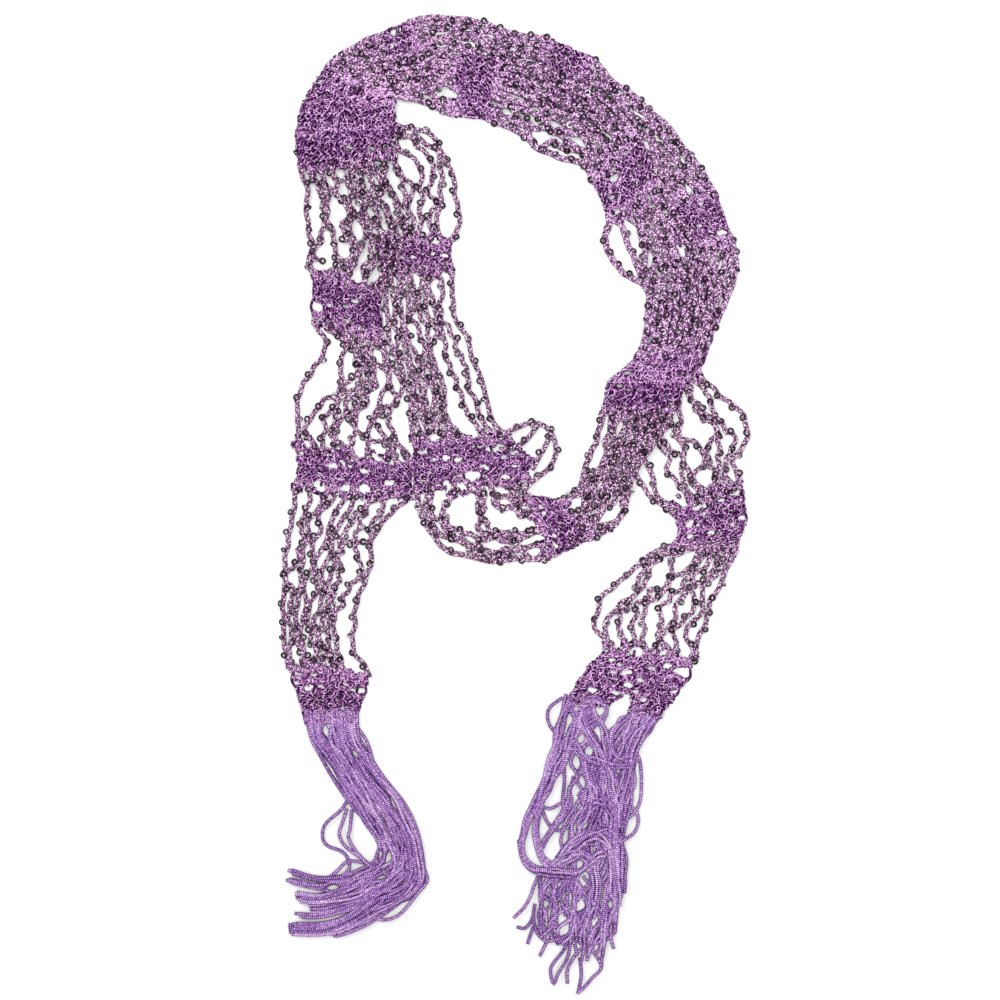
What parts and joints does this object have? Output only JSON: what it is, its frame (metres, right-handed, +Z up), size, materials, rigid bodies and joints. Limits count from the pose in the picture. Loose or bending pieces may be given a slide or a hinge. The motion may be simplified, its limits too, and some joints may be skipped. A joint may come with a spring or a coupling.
{
  "type": "beaded scarf belt",
  "caption": "Crochet scarf belt with beaded open strands, dense bands and long cord fringe at both ends, lying flat in a loose loop.",
  "frame": {"origin": "on the table under the middle of the belt's whole outline, as it lies", "axes": "+Z up from the table; +Y from the fringed tails towards the top of the loop, along the longest extent; +X towards the right tail's side"},
  "size_m": [0.304, 0.636, 0.0051],
  "materials": {
    "yarn": "crocheted chainette yarn with a soft metallic sheen, purple from lilac to plum",
    "cord": "ribbed chainette cord, soft satin purple",
    "bead": "small gunmetal ring beads with bright glints"
  },
  "bodies": {
    "root": {"left_tail": "yarn", "inner_arc": "yarn", "bottom_turn": "yarn", "inner_riser": "yarn", "outer_arc": "yarn", "right_tail": "yarn", "slack_arch": "yarn", "left_fringe_under": "cord", "left_fringe_top": "cord", "right_fringe_under": "cord", "right_fringe_top": "cord"}
  },
  "joints": []
}
